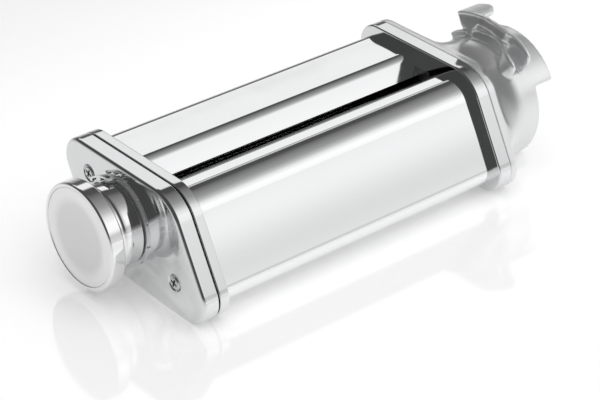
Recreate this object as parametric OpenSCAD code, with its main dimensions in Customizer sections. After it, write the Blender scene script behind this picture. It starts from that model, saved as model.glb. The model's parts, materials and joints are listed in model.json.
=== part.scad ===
// Pasta roller attachment: a sheet-metal body between two slanted end plates, two rollers with
// gears, a setting knob at the near end and a cast bayonet coupling at the far end.
// The X axis is the drive axis. X = 0 is the rim of the coupling ring, and +X leaves the mouth.

/* [Body] */
// Length of the body between the two end plates
body_len = 150; // [120:1:200]
// Width of the end plates, measured level
plate_w = 78.7; // [76:0.1:90]
// Height of the end plates
plate_h = 52.2; // [50:0.1:56]
// How far the top of an end plate sits behind its bottom
plate_lean = 28.5; // [22:0.5:30]
// Radius of the two sharp corners of the end plates
sharp_r = 10.6; // [8:0.1:12]
// Radius of the two blunt corners of the end plates
blunt_r = 17.6; // [12:0.1:19]
// How far the body shell sits inside the edge of the end plates
shell_inset = 4.6; // [3:0.1:5]
// Thickness of the body sheet
sheet_t = 0.8; // [0.6:0.1:1]
// Width of the feed slot at the top of the body
feed_w = 30.6; // [28:0.2:34]
// Width of the feed slot between the lower edges of the two chutes
chute_gap = 14; // [12:0.5:16]
// Depth of the chutes below the top of the body
chute_drop = 8; // [6:0.1:8]
// Outer radius of the bend between the top of the body and a chute
bend_r = 1.8; // [1.2:0.1:2.4]
// Width of the exit slot in the bottom of the body
exit_w = 26; // [24:0.5:30]

/* [End plates] */
// Thickness of the inner plate at the knob end
near_plate_t = 5.4; // [4.5:0.1:8]
// Thickness of the hollow cover at the knob end
cover_t = 7.5; // [7.3:0.1:10]
// Thickness of the plate at the coupling end
far_plate_t = 6.5; // [5.5:0.1:8]
// Wall of the hollow cover
cover_wall = 1.8; // [1.4:0.1:2]
// Radius of the rounded front edge of the cover
cover_edge = 1.8; // [1:0.1:2.4]
// Radius of the eased edges of the plate at the coupling end
plate_edge = 0.9; // [0.4:0.1:1.2]
// Depth and width of the shadow groove between cover and plate
seam = 0.7; // [0.4:0.1:1]

/* [Rollers] */
// Diameter of both rollers
roller_d = 20; // [19:0.5:21]
// Gap between the rollers at the thinnest setting
roller_gap = 0.5; // [0.3:0.1:0.8]
// How much lower the adjustable roller sits
roller_drop = 2; // [0:0.5:3]
// Space between a roller's end and the plate beside it
roller_end = 0.5; // [0.3:0.1:1]
// How far the adjustable roller slides away from the driven one
travel = 2.3; // [1:0.1:2.3]
// Diameter of the driven roller's journals
journal_d = 10; // [9:0.5:11]
// Diameter of the adjustable roller's hollow journals
hub_d = 12; // [11.8:0.1:12.4]
// Bore of the adjustable roller's tube
tube_bore = 14; // [13:0.5:15]
// Running clearance of every shaft in its bore, on the radius
running_fit = 0.05; // [0.03:0.01:0.1]
// Teeth on each gear
gear_teeth = 10; // [10:1:12]
// Face width of the gears
gear_w = 4.8; // [3:0.1:5]

/* [Setting knob] */
// Diameter of the knob's rim
knob_d = 46.4; // [44:0.2:48]
// How far the knob's face stands out from the cover
knob_reach = 20.9; // [20:0.1:26]
// Thickness of the knob's rim
rim_w = 6.8; // [6:0.1:8]
// Diameter of the knob's narrow neck
neck_d = 34.8; // [33:0.2:35]
// Diameter of the collar next to the cover
collar_d = 36; // [35:0.2:36.2]
// Diameter of the satin disc in the knob's face
face_d = 42.6; // [36:0.2:43]
// Radius of the index ring on the cover behind the knob
index_r = 19.6; // [19.2:0.1:19.8]
// Thickness of the index ring
index_t = 0.8; // [0.6:0.1:1.2]
// Gap between the index ring and the knob
knob_gap = 0.6; // [0.4:0.1:0.8]
// Angle that the knob turns through
knob_turn = 240; // [150:10:270]
// Number of thickness settings
settings = 9; // [5:1:10]
// Distance that the knob pulls out
knob_pull = 3; // [1:0.1:3]
// Diameter of the thin part of the setting spindle
spindle_d = 4; // [3:0.1:4]
// Diameter of the thick part of the setting spindle
stem_d = 8; // [7:0.1:9]
// Distance from the spindle to the cam's follower pin at the thinnest setting
follower_r = 8; // [7.9:0.1:8.2]
// Diameter of the follower pins
follower_d = 2.5; // [2:0.1:2.8]
// Thickness of the setting cams
cam_t = 2.4; // [1.6:0.1:2.6]

/* [Coupling] */
// Outer radius of the coupling ring
ring_r = 28.86; // [28:0.01:30]
// Wall of the coupling ring
ring_wall = 3.4; // [2.6:0.1:3.6]
// Length of the casting from the far plate to the ring's rim
housing_len = 32; // [31:0.1:36]
// Length of the coupling ring
ring_len = 20.3; // [19:0.1:21]
// Depth of the step that is cut back into the ring's rim
cut_back = 10.3; // [6:0.1:11]
// Thickness of the casting's flange
flange_t = 3.7; // [2.6:0.1:4]
// Outer radius of the tall bayonet flanges
bayonet_r = 40.2; // [38:0.2:42]
// Outer radius of the low bayonet ramp
ramp_r = 34.6; // [33:0.1:36]
// Thickness of the bayonet flanges
bayonet_t = 2; // [1.6:0.1:2.4]
// Distance from the ring's rim to the tall bayonet flange
flange_back = 17.2; // [16.6:0.1:17.4]
// How far the tab reaches from the tall flange towards the rim
tab_len = 11.4; // [9:0.2:12]
// Thickness of the tab
tab_t = 2.6; // [2:0.1:3]

/* [Screws] */
// Distance of the cover screws behind and in front of the plate's middle
screw_y = 28.1; // [27.4:0.1:28.6]
// Distance of the cover screws above and below the plate's middle
screw_z = 12.7; // [11.8:0.1:13]
// How far the pair of cover screws sits behind the plate's middle
screw_back = 1; // [0:0.1:1.2]
// How far the pair of cover screws sits above the plate's middle
screw_up = 0.9; // [0:0.1:1.2]
// Radius of the cover screws' heads
head_r = 3.2; // [3:0.1:3.4]
// Diameter of the cover screws
screw_d = 4; // [3:0.5:4.5]
// Diameter of the screws that hold the casting
small_screw_d = 3; // [2.5:0.5:3]
// Diameter of the tie bars
tie_d = 9; // [8:0.5:10]

/* [Hidden] */
$fn = 64;
eps = 0.01;

steel = [0.80, 0.81, 0.82];
polished = [0.86, 0.87, 0.88];
cast = [0.66, 0.67, 0.68];
dark = [0.18, 0.18, 0.19];
brass = [0.72, 0.58, 0.30];
satin = [0.78, 0.79, 0.80];

// Where the pieces follow one another along X
x_housing = -housing_len;
x_far = x_housing - far_plate_t;
x_near = x_far - body_len;
x_seam = x_near - near_plate_t;
x_cover = x_seam - cover_t;
x_knob = x_cover - knob_reach;

// The middle of the end plates; they stand on the same level as the ring
plate_y = 12;
plate_z = plate_h / 2 - ring_r;

// Axis of the adjustable roller and of the knob; the driven roller is on the X axis
centre_dist = roller_d + roller_gap;
adj_z = -roller_drop;
adj_y = sqrt(centre_dist * centre_dist - roller_drop * roller_drop);
roller_x0 = x_near + roller_end;
roller_x1 = x_far - roller_end;

// Clearances: between bodies, between a pressed piece and its seat, and of a sliding block
free = 0.3;
seat = 0.02;
slide_fit = 0.05;
thread = 10;

// Slanted outline: corner points, corner radii and the centres of the corner arcs
corner_r = [sharp_r, blunt_r, sharp_r, blunt_r];
corner = [[-plate_w - plate_lean, -plate_h] / 2, [plate_w - plate_lean, -plate_h] / 2,
    [plate_w + plate_lean, plate_h] / 2, [-plate_w + plate_lean, plate_h] / 2];
function unit(v) = v / norm(v);
function edge_dir(i) = unit(corner[(i + 1) % 4] - corner[i % 4]);
function inward(i) = [-edge_dir(i)[1], edge_dir(i)[0]];
function arc_centre(i) = let (a = inward(i + 3), b = inward(i))
    corner[i] + corner_r[i] * (a + b) / (1 + a * b);
function polar(r, a) = [r * cos(a), r * sin(a)];

// Section of the body, measured from the plate's middle
body_top = plate_h / 2 - shell_inset;
body_floor = -body_top;
fold_y = feed_w / 2 + 0.4;
lap = 5;
foot = 8;

// Gear pair
gear_m = centre_dist / gear_teeth;
pitch_r = centre_dist / 2;
tip_r = pitch_r + gear_m;
root_r = pitch_r - 1.22 * gear_m;
base_r = pitch_r * cos(27);
backlash = 1.7;
gear_x = x_housing + 2 * free;

// Carriage, cams and the room that they need in the casting
block_w = 16;
block_back = follower_r + follower_d / 2 + 1.5;
near_block_h = 20;
far_block_h = 32;
post_w = 8;
post_h = 3;
post_z = tip_r + free;
yoke_t = 2.6;
yoke_x = gear_x + gear_w + free;
far_cam_x = yoke_x + yoke_t + free;
near_cam_x = x_seam - free - cam_t;
slot_r = follower_d / 2 + 0.1;
cam_r = follower_r + travel + slot_r + 1.5;
room_r = norm([post_w / 2 + travel, post_z + post_h]) + free;
room_x1 = far_cam_x + cam_t + free;
case_wall = 2.2;
case_x1 = room_x1 + case_wall;
bore_r = spindle_d / 2 + travel + free;
plug_len = 10;

// Driven shaft beyond the far plate
shaft_r = 4;
sleeve_r = 6;
dog_r = 10;
dog_x = case_x1 + free;
dog_len = 7;
bush_r = journal_d / 2 + 2;

// Knob
rim_r = knob_d / 2;
ring_x = x_cover - index_t;
collar_x1 = ring_x - knob_gap;
collar_x0 = x_cover - 4.9;
waist_w = 3;
neck_x = x_knob + rim_w + waist_w;
waist_h = rim_r - 3.2 - neck_d / 2;
waist_r = (waist_h ^ 2 + waist_w ^ 2) / 2 / waist_h;
washer_r = 7.5;
stem_screw = 7;
detent_x = collar_x0 + 0.3;
stem_x = x_knob + 4.9;
spring_seat = collar_x1 - 4.7;

module along_x(x, len) {
    translate([x, 0, 0]) rotate([90, 0, 90]) linear_extrude(len) children();
}

module rod_x(x0, x1, r, y = 0, z = 0) {
    translate([x0, y, z]) rotate([0, 90, 0]) cylinder(h = x1 - x0, r = r);
}

// Turns a profile, drawn as [x, radius], about a line that runs along X
module turned_x(y = 0, z = 0) {
    translate([0, y, z]) rotate([0, 90, 0]) rotate_extrude($fn = 96) rotate(90) mirror([0, 1])
        children();
}

// The slanted outline in the YZ plane, d inside the edge of the end plates
module slanted(d) {
    translate([plate_y, plate_z]) {
        polygon([for (i = [0:3], n = [inward(i + 3), inward(i)])
            arc_centre(i) - (corner_r[i] - d) * n]);
        for (i = [0:3]) translate(arc_centre(i)) circle(corner_r[i] - d);
    }
}

// A slanted plate whose edges are rounded: radius f at the -X face and b at the +X face
module eased_plate(x, t, f, b) {
    steps = 4;
    slice = 0.01;
    hull() for (i = [0:steps]) let (q = 90 * i / steps) {
        along_x(x + f * (1 - sin(q)), slice) slanted(f * (1 - cos(q)), $fn = 40);
        along_x(x + t - slice - b * (1 - sin(q)), slice) slanted(b * (1 - cos(q)), $fn = 40);
    }
}

// Half section of a disc with rounded edges: f at the -X face and b at the +X face
module edge_profile(t, r, f, b) {
    translate([f, 0]) square([t - f - b, r]);
    square([t / 2, r - f]);
    translate([f, r - f]) circle(f);
    translate([t / 2, 0]) square([t / 2, r - b]);
    translate([t - b, r - b]) circle(b);
}

module cover_screw_places() {
    for (s = [-1, 1])
        translate([0, plate_y + screw_back + s * screw_y, plate_z + screw_up + s * screw_z]) children();
}

// A sector of a ring in the YZ plane, from angle a to angle b, counted from +Y towards +Z
module sector(r0, r1, a, b) {
    far = 3 * r1;
    n = ceil((b - a) / 60);
    intersection() {
        difference() {
            circle(r1);
            circle(r0);
        }
        polygon(concat([[0, 0]], [for (i = [0:n]) polar(far, a + (b - a) * i / n)]));
    }
}

// A shaft section with one flat
module d_section(r) {
    intersection() {
        circle(r);
        translate([-r, -r]) square([2 * r, 1.6 * r]);
    }
}

// ---- End plates and casting ----

// Hollow cover at the knob end, with two pillars for its screws
module near_cover() {
    color(polished) difference() {
        union() {
            difference() {
                eased_plate(x_cover, cover_t, cover_edge, 0);
                along_x(x_cover + cover_wall, cover_t) slanted(cover_wall);
            }
            cover_screw_places() {
                rod_x(x_cover + 1, x_seam, head_r + 1.4);
            }
        }
        rod_x(x_cover - 1, x_seam, 6.5 + seat, adj_y, adj_z);
        cover_screw_places() {
            rod_x(x_cover - 1, x_seam + 1, screw_d / 2 + 0.2);
            turned_x() polygon([[x_cover - 1, 0], [x_cover - 1, head_r + 0.7], [x_cover, head_r + 0.7],
                [x_cover + 0.9, head_r + 0.2], [x_cover + 3, 1.1], [x_cover + 3, 0]]);
        }
    }
}

// Inner plate at the knob end, with the slot that the near bearing block slides in
module near_plate() {
    color(polished) difference() {
        union() {
            along_x(x_seam, seam) slanted(seam);
            eased_plate(x_seam + seam, near_plate_t - seam, 0, plate_edge / 2);
        }
        rod_x(x_seam - 1, x_near + 1, bush_r + seat);
        block_slot(x_seam, near_plate_t, near_block_h);
        cover_screw_places() rod_x(x_seam - 1, x_near + 1, screw_d / 2 + 0.2);
    }
}

module block_slot(x, t, h) {
    translate([x - 1, adj_y - block_w / 2 - free, adj_z - h / 2 - slide_fit])
        cube([t + 2, block_w / 2 + block_back + travel + 2 * free, h + 2 * slide_fit]);
}

// Plate at the coupling end
module far_plate() {
    color(polished) difference() {
        eased_plate(x_far, far_plate_t, plate_edge, 0);
        rod_x(x_far - 1, x_housing + 1, bush_r + seat);
        block_slot(x_far, far_plate_t, far_block_h);
        cover_screw_places() rod_x(x_far - 1, x_housing + 1, small_screw_d / 2 + 0.2);
    }
}

// Cast coupling: flange, gear case, flared neck, ring and bayonet flanges
module coupling_housing() {
    x0 = x_housing + flange_t;
    x1 = -ring_len;
    color(cast) difference() {
        union() {
            along_x(x_housing, flange_t) slanted(0);
            neck(x0, x1);
            rod_x(x1, 0, ring_r);
            rod_x(x_housing, case_x1, room_r + case_wall, adj_y, adj_z);
            bayonet();
        }
        difference() {
            turned_x() polygon([[x0, 0], [x0, ring_r - ring_wall - 5.9], [x1, ring_r - ring_wall], [1, ring_r - ring_wall],
                [1, 0]]);
            rod_x(x0 - 1, gear_x + gear_w + free + case_wall, tip_r + 2 * free + case_wall);
            rod_x(x0 - 1, case_x1, room_r + case_wall, adj_y, adj_z);
            rod_x(x0 - 1, case_x1, sleeve_r + 2);
        }
        rod_x(x_housing - 1, gear_x + gear_w + free, tip_r + 2 * free);
        rod_x(x_housing - 1, room_x1, room_r, adj_y, adj_z);
        rod_x(x_housing - 1, case_x1 + 1, sleeve_r + running_fit);
        along_x(-cut_back, cut_back + 1) sector(ring_r - ring_wall - 1, bayonet_r + 5, 152, 240);
        cover_screw_places() {
            rod_x(x_housing - 1, x0 + 1, small_screw_d / 2 + 0.2);
            rod_x(x0, x1 + 1, small_screw_d + 0.2);
        }
    }
}

// Points round the slanted outline of the plates, every corner arc and every edge divided
function outline() = let (m = 8) [for (i = [0:3]) let (a = inward(i + 3), b = inward(i),
    turn = acos(a * b), p = arc_centre(i), q = arc_centre((i + 1) % 4),
    from = p - corner_r[i] * b, to = q - corner_r[(i + 1) % 4] * b) each concat(
    [for (k = [0:m]) p - corner_r[i] * (sin(turn * (1 - k / m)) * a + sin(turn * k / m) * b) / sin(turn)],
    [for (k = [1:m - 1]) from + (to - from) * k / m])];

// A solid through closed rings of points, each counterclockwise about the way they follow
module skin(rings) {
    n = len(rings[0]);
    last = len(rings) - 1;
    walls = [for (i = [0:last - 1], j = [0:n - 1]) let (a = i * n, b = a + n, k = (j + 1) % n)
        each [[a + j, b + j, b + k], [a + j, b + k, a + k]]];
    ends = [[for (j = [0:n - 1]) j], [for (j = [n - 1:-1:0]) last * n + j]];
    polyhedron([for (r = rings) each r], concat(walls, ends));
}

// Neck of the casting, from the slanted outline at x0 to the round ring at x1
module neck(x0, x1) {
    r = ring_r - 0.3;
    steps = 6;
    edge = [for (p = outline()) p + [plate_y, plate_z]];
    stations = [[x0 - 0.5, 1], for (i = [0:steps]) [x0 + 0.05 + (x1 - x0 - 0.1) * i / steps, 1 - i / steps],
        [x1 + 0.5, 0]];
    skin([for (s = stations) [for (p = edge) let (d = norm(p) - 0.25 - r,
        q = unit(p) * (r + d * s[1] ^ (d > 0 ? 1.7 : 1.2))) [s[0], q[0], q[1]]]]);
}

// Bayonet flanges around the ring: tall flange with a tab, low ramp in front of it, small lug
module bayonet() {
    r0 = ring_r - 2;
    x = -flange_back;
    tall = bayonet_r;
    low = ramp_r;
    end_r = 6.2;
    along_x(x - bayonet_t, bayonet_t) {
        sector(r0, tall, 71, 112);
        sector(ring_r + 4.2, tall, 65, 72);
    }
    along_x(x - 0.6, bayonet_t + 0.8) {
        sector(r0, tall, 104, 127);
        rotate(127) translate([tall - 5, 0]) circle(5);
        sector(r0, tall - 5, 126, 134);
    }
    along_x(x - 3, 2.2) sector(r0, low, 84, 116);
    along_x(x - 5.1, 6.6) rotate(125.5) translate([low - end_r, 0]) circle(end_r);
    along_x(x - 3.1, 2.9) sector(r0, low - 2.6, 53, 72);
    intersection() {
        along_x(x - 0.4, tab_len + 0.4) sector(tall - tab_t, tall - 0.05, 65.1, 87);
        rotate([76, 0, 0]) rotate([90, 0, 0]) translate([x - 1, -9, -tall - 5]) linear_extrude(15) {
            square([tab_len - 8, 18]);
            square([tab_len + 1, 7.7]);
            translate([tab_len - 8, 7.7]) circle(9);
        }
    }
}

// ---- Sheet-metal body ----

// Places what follows at the middle of the plates and runs it along the body
module body_sheet() {
    along_x(x_near, body_len) translate([plate_y, plate_z]) children();
}

// Lap of sheet against the inside of the shell, from a to b behind the plate's middle
module lap_section(a, b, z) {
    intersection() {
        difference() {
            slanted(shell_inset + sheet_t);
            slanted(shell_inset + 2 * sheet_t);
        }
        translate([plate_y + a, plate_z + z]) square([b - a, plate_h]);
    }
}

module shell_section() {
    difference() {
        slanted(shell_inset);
        slanted(shell_inset + sheet_t);
    }
}

// Front half of the body: floor, front face and the narrow front strip of the top
module front_shell() {
    color(polished) along_x(x_near, body_len) intersection() {
        shell_section();
        translate([plate_y, plate_z]) polygon([[-80, -40], [-exit_w / 2, -40], [-exit_w / 2, 0],
            [-feed_w / 2, 0], [-feed_w / 2, 40], [-80, 40]]);
    }
}

// Back half of the body: floor, back face, top and the chute folded down from it
module rear_shell() {
    color(polished) along_x(x_near, body_len) {
        intersection() {
            shell_section();
            translate([plate_y, plate_z]) polygon([[80, -40], [exit_w / 2, -40], [exit_w / 2, 0],
                [fold_y + 1, 0], [fold_y + 1, 40], [80, 40]]);
        }
        translate([plate_y, plate_z]) chute_section(0);
    }
}

// Strip bent down from the top of the body to the rollers; its top is d below the shell's
module chute_section(d) {
    a = [fold_y, body_top - d];
    b = [chute_gap / 2, body_top - chute_drop];
    u = unit(b - a);
    n = [-u[1], u[0]];
    tangent = bend_r / tan(acos(u[0]) / 2);
    middle = a + [tangent, -bend_r];
    translate(a + [tangent - eps, -sheet_t]) square([1.6, sheet_t]);
    polygon([a + u * (tangent - eps), b, b + n * sheet_t, a + u * (tangent - eps) + n * sheet_t]);
    intersection() {
        translate(middle) difference() {
            circle(bend_r);
            circle(bend_r - sheet_t);
        }
        polygon([middle, middle + [0, 2 * bend_r], middle - n * 2 * bend_r]);
    }
}

// Separate front chute, lapped under the front shell
module front_chute() {
    color(polished) along_x(x_near, body_len) {
        lap_section(-fold_y - lap, -fold_y - 0.9, 0);
        translate([plate_y, plate_z]) mirror([1, 0]) chute_section(sheet_t + 0.6);
    }
}

// Blade that peels the dough off a roller, up from the edge of the exit slot
module scraper_section(y, z, lean) {
    reach = roller_d / 2 + free;
    heel = [exit_w / 2, body_floor + sheet_t];
    tip = [y + reach * sin(lean), z - reach * cos(lean)];
    d = unit(tip - heel);
    n = [d[1], -d[0]] * sheet_t;
    knee = heel + n + d * (sheet_t - n[1]) / d[1];
    polygon([heel + [1, 0], heel, tip, tip + n / 2 - d, knee, heel + [1, sheet_t]]);
}

module front_scraper() {
    color(steel) {
        along_x(x_near, body_len) lap_section(-exit_w / 2 - foot, -exit_w / 2 - 0.5, -plate_h);
        body_sheet() mirror([1, 0]) scraper_section(plate_y, -plate_z, -10);
    }
}

module rear_scraper() {
    color(steel) {
        along_x(x_near, body_len) lap_section(exit_w / 2 + 0.5, exit_w / 2 + foot, -plate_h);
        body_sheet() scraper_section(adj_y - plate_y, adj_z - plate_z, -10);
    }
}

// ---- Screws and bars ----

// Two tapped bars that hold the end plates apart
module tie_bars() {
    color(steel) difference() {
        cover_screw_places() rod_x(x_near, x_far, tie_d / 2);
        cover_screw_places() {
            rod_x(x_near - 1, x_near + thread + 2, screw_d / 2 + seat);
            rod_x(x_far - thread - 2, x_far + 1, small_screw_d / 2 + seat);
        }
    }
}

// Countersunk cross-head screws in the cover
module cover_screws() {
    color(steel) difference() {
        cover_screw_places() union() {
            rod_x(x_cover + 1.4, x_near + thread, screw_d / 2);
            turned_x() polygon([[x_cover - 0.3, 0], [x_cover - 0.3, head_r - 0.8],
                [x_cover + 0.2, head_r - 0.1], [x_cover + 0.5, head_r], [x_cover + 0.9, head_r],
                [x_cover + 3, 1.1], [x_cover + 3, 0]]);
        }
        cover_screw_places() for (a = [0, 90]) rotate([a + 20, 0, 0])
            translate([x_cover - 1, 0.4 - head_r / 1.4, -0.45]) cube([2.4, head_r / 0.7 - 0.8, 0.9]);
    }
}

// Cap screws that hold the casting and the far plate to the tie bars
module housing_screws() {
    x0 = x_housing + flange_t;
    color(steel) cover_screw_places() difference() {
        union() {
            rod_x(x_far - thread, x0 + 0.5, small_screw_d / 2);
            rod_x(x0, x0 + 2.6, small_screw_d - 0.2);
        }
        rod_x(x0 + 1.2, x0 + 3, 1.25);
    }
}

// ---- Index of the knob ----

// Thin ring on the cover behind the knob, with one notch a setting in its edge
module index_ring() {
    step = knob_turn / (settings - 1);
    color(cast) translate([0, adj_y, adj_z]) difference() {
        rod_x(ring_x, x_cover, index_r);
        rod_x(ring_x - 1, x_cover + 1, 6.5 + seat);
        for (i = [0:settings - 1]) rotate([100 + i * step, 0, 0])
            translate([0, index_r, 0]) rod_x(ring_x - 1, x_cover + 1, 0.6);
    }
}

// Bent spring strip on the index ring, its nose just clear of the knob's collar
module index_detent() {
    color(polished) translate([0, adj_y, adj_z]) {
        along_x(detent_x, 2) sector(collar_d / 2 + 1.9, collar_d / 2 + 2.7, 50, 88);
        for (a = [50, 88]) rotate([a, 0, 0]) translate([0, collar_d / 2 + 2, 0])
            rod_x(detent_x, detent_x + 2, 0.9);
        rotate([68, 0, 0]) translate([0, collar_d / 2 + 1.5, 0]) rod_x(detent_x, detent_x + 2, 1.2);
        rotate([88, 0, 0]) translate([0, collar_d / 2 + 1, 0]) rod_x(detent_x + 1, ring_x, 0.6);
    }
}

// ---- Bearings and driven roller ----

// Flanged brass bush that carries the setting spindle in the cover
module stem_bush() {
    color(brass) translate([0, adj_y, adj_z]) difference() {
        union() {
            rod_x(ring_x, x_cover + cover_wall, 6.5);
            rod_x(x_cover + cover_wall, x_cover + cover_wall + 1.4, 8.6);
        }
        rod_x(ring_x - 1, x_cover + 9, stem_d / 2 + running_fit);
    }
}

// Plain bushes that carry the driven roller in both plates
module drive_bushes() {
    color(brass) difference() {
        union() {
            rod_x(x_seam, x_near, bush_r);
            rod_x(x_far, x_housing, bush_r);
        }
        rod_x(x_seam - 2, x_near + 1, journal_d / 2 + running_fit);
        rod_x(x_far - 1, x_housing + 1, journal_d / 2 + running_fit);
    }
}

module drive_roller() {
    color(polished) {
        difference() {
            union() {
                rod_x(roller_x0, roller_x1, roller_d / 2);
                rod_x(x_seam - 1, roller_x0 + 1, journal_d / 2);
                rod_x(roller_x1 - 1, gear_x - free, journal_d / 2);
                along_x(gear_x - free - 1, case_x1 - gear_x + free) d_section(shaft_r);
            }
            rod_x(case_x1 - 8, case_x1 + 1, 2);
        }
    }
}

// Involute outline: a tooth on the +Y axis, thinned for backlash
function inv_pt(r) = let (a = acos(base_r / r)) tan(a) * 180 / PI - a;
function flank(r, half) = let (q = max(r, base_r)) half + inv_pt(pitch_r) - inv_pt(q);
module gear_section() {
    half = 90 / gear_teeth - backlash / 2;
    radii = [for (i = [0:7]) max(base_r, root_r + 0.3) + (tip_r - max(base_r, root_r + 0.3)) * i / 7];
    pitch_a = 360 / gear_teeth;
    polygon([for (k = [0:gear_teeth - 1]) each concat(
        [polar(root_r, k * pitch_a - pitch_a / 2), polar(root_r, k * pitch_a - flank(0, half) - 1)],
        [for (r = radii) polar(r, k * pitch_a - flank(r, half))],
        [for (i = [7:-1:0]) polar(radii[i], k * pitch_a + flank(radii[i], half))],
        [polar(root_r, k * pitch_a + flank(0, half) + 1)])]);
}

module drive_gear() {
    color(steel) along_x(gear_x, gear_w) difference() {
        rotate(atan2(adj_z, adj_y)) gear_section();
        d_section(shaft_r + seat);
    }
}

// Clawed coupler that the drive turns, on the end of the driven roller's shaft
module drive_dog() {
    color(steel) difference() {
        union() {
            rod_x(gear_x + gear_w, dog_x + 1, sleeve_r);
            rod_x(dog_x, dog_x + dog_len, dog_r);
        }
        along_x(gear_x, case_x1 - gear_x) d_section(shaft_r + seat);
        rod_x(case_x1 - 1, dog_x + dog_len + 1, 2.2);
        rod_x(dog_x + 2.4, dog_x + dog_len + 1, 5);
        for (a = [0, 90]) rotate([a, 0, 0]) translate([dog_x + 3, -dog_r - 1, -2.5])
            cube([dog_len, 2 * dog_r + 2, 5]);
    }
}

module dog_screw() {
    color(steel) difference() {
        union() {
            rod_x(case_x1 - 7, dog_x + 2.4, 2 - seat);
            rod_x(dog_x + 2.4, dog_x + 5, 3.5);
        }
        rod_x(dog_x + 3.6, dog_x + 6, 1.5);
    }
}

// ---- Adjustable roller and its carriage ----

module adjust_roller() {
    color(polished) translate([0, adj_y, adj_z]) difference() {
        rod_x(roller_x0, roller_x1, roller_d / 2);
        rod_x(roller_x0 - 1, roller_x1 + 1, tube_bore / 2);
    }
}

// Hollow plug with the journal that turns in the near block
module adjust_hub() {
    color(steel) translate([0, adj_y, adj_z]) difference() {
        union() {
            rod_x(x_seam + free, roller_x0 + plug_len, hub_d / 2);
            rod_x(roller_x0, roller_x0 + plug_len, tube_bore / 2 - seat);
        }
        rod_x(x_seam - 1, roller_x0 + plug_len + 1, bore_r);
    }
}

// Hollow plug with the far journal and the gear that meshes with the driven one
module adjust_gear() {
    turn = atan2(adj_z, adj_y) + 180 + (gear_teeth % 2 == 0 ? 180 / gear_teeth : 0);
    color(steel) translate([0, adj_y, adj_z]) difference() {
        union() {
            rod_x(roller_x1 - plug_len, roller_x1, tube_bore / 2 - seat);
            rod_x(roller_x1 - 1, gear_x, hub_d / 2);
            along_x(gear_x, gear_w) rotate(turn) gear_section();
        }
        rod_x(roller_x1 - plug_len - 1, gear_x + gear_w + 1, bore_r);
    }
}

module block(x0, x1, h) {
    translate([x0, adj_y - block_w / 2, adj_z - h / 2]) cube([x1 - x0, block_w / 2 + block_back, h]);
}

// Bearing block that slides in the near plate
module near_carriage() {
    color(steel) difference() {
        block(x_seam + free, x_near - 0.1, near_block_h);
        rod_x(x_seam - 1, x_near + 1, hub_d / 2 + running_fit, adj_y, adj_z);
        rod_x(x_seam - 1, x_seam + 3, follower_d / 2 + seat, adj_y + follower_r, adj_z);
    }
}

// Bearing block in the far plate, with two posts past the gear and a yoke at the far cam
module far_carriage() {
    color(steel) difference() {
        union() {
            block(x_far + 0.1, x_housing - 0.1, far_block_h);
            for (s = [-1, 1]) translate([x_housing - 1, adj_y - post_w / 2, adj_z + s * post_z - (1 - s) / 2 * post_h])
                cube([yoke_x + yoke_t - x_housing + 1, post_w, post_h]);
            translate([yoke_x, adj_y - post_w / 2, adj_z - post_z - post_h])
                cube([yoke_t, post_w, 2 * (post_z + post_h)]);
            translate([yoke_x, adj_y, adj_z - 4]) cube([yoke_t, block_back, 8]);
        }
        rod_x(x_far - 1, x_housing + 1, hub_d / 2 + running_fit, adj_y, adj_z);
        rod_x(x_housing, far_cam_x, bore_r, adj_y, adj_z);
        rod_x(yoke_x - 1, far_cam_x, follower_d / 2 + seat, adj_y + follower_r, adj_z);
    }
}

// The pins that ride in the cams' slots
module follower_pins() {
    color(steel) {
        rod_x(near_cam_x + 0.3, x_seam + 3, follower_d / 2, adj_y + follower_r, adj_z);
        rod_x(yoke_x, far_cam_x + cam_t - 0.3, follower_d / 2, adj_y + follower_r, adj_z);
    }
}

// ---- Setting spindle, cams and knob ----

module flats(r) {
    intersection() {
        circle(r);
        square([2 * r, 1.5 * r], center = true);
    }
}

// Spindle through the hollow adjustable roller; its flats drive the knob and let it slide
module setting_spindle() {
    color(steel) translate([0, adj_y, adj_z]) difference() {
        union() {
            along_x(stem_x, collar_x1 - stem_x + 0.2) flats(stem_d / 2);
            rod_x(collar_x1 + 0.1, x_seam - free, stem_d / 2);
            rod_x(x_seam - 1, far_cam_x + cam_t, spindle_d / 2);
        }
        rod_x(stem_x - 1, stem_x + stem_screw + 1, 1.7 + seat);
    }
}

// Cam disc with a spiral slot; the slot's far end is followed at the widest setting
module cam_section() {
    n = 64;
    caps = 8;
    past = 8;
    k = travel / knob_turn;
    a0 = past;
    a1 = -knob_turn - past;
    a = [for (i = [0:n]) a0 + (a1 - a0) * i / n];
    end0 = polar(follower_r - k * a0, a0);
    end1 = polar(follower_r - k * a1, a1);
    difference() {
        circle(cam_r);
        polygon(concat([for (t = a) polar(follower_r - k * t + slot_r, t)],
            [for (i = [1:caps - 1]) end1 + polar(slot_r, a1 - 180 * i / caps)],
            [for (i = [n:-1:0]) polar(follower_r - k * a[i] - slot_r, a[i])],
            [for (i = [1:caps - 1]) end0 + polar(slot_r, a0 + 180 - 180 * i / caps)]));
    }
}

module near_cam() {
    color(steel) translate([0, adj_y, adj_z]) along_x(near_cam_x, cam_t) difference() {
        cam_section();
        circle(stem_d / 2 + seat);
    }
}

module far_cam() {
    color(steel) translate([0, adj_y, adj_z]) along_x(far_cam_x, cam_t) difference() {
        cam_section();
        circle(spindle_d / 2 + seat);
    }
}

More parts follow.
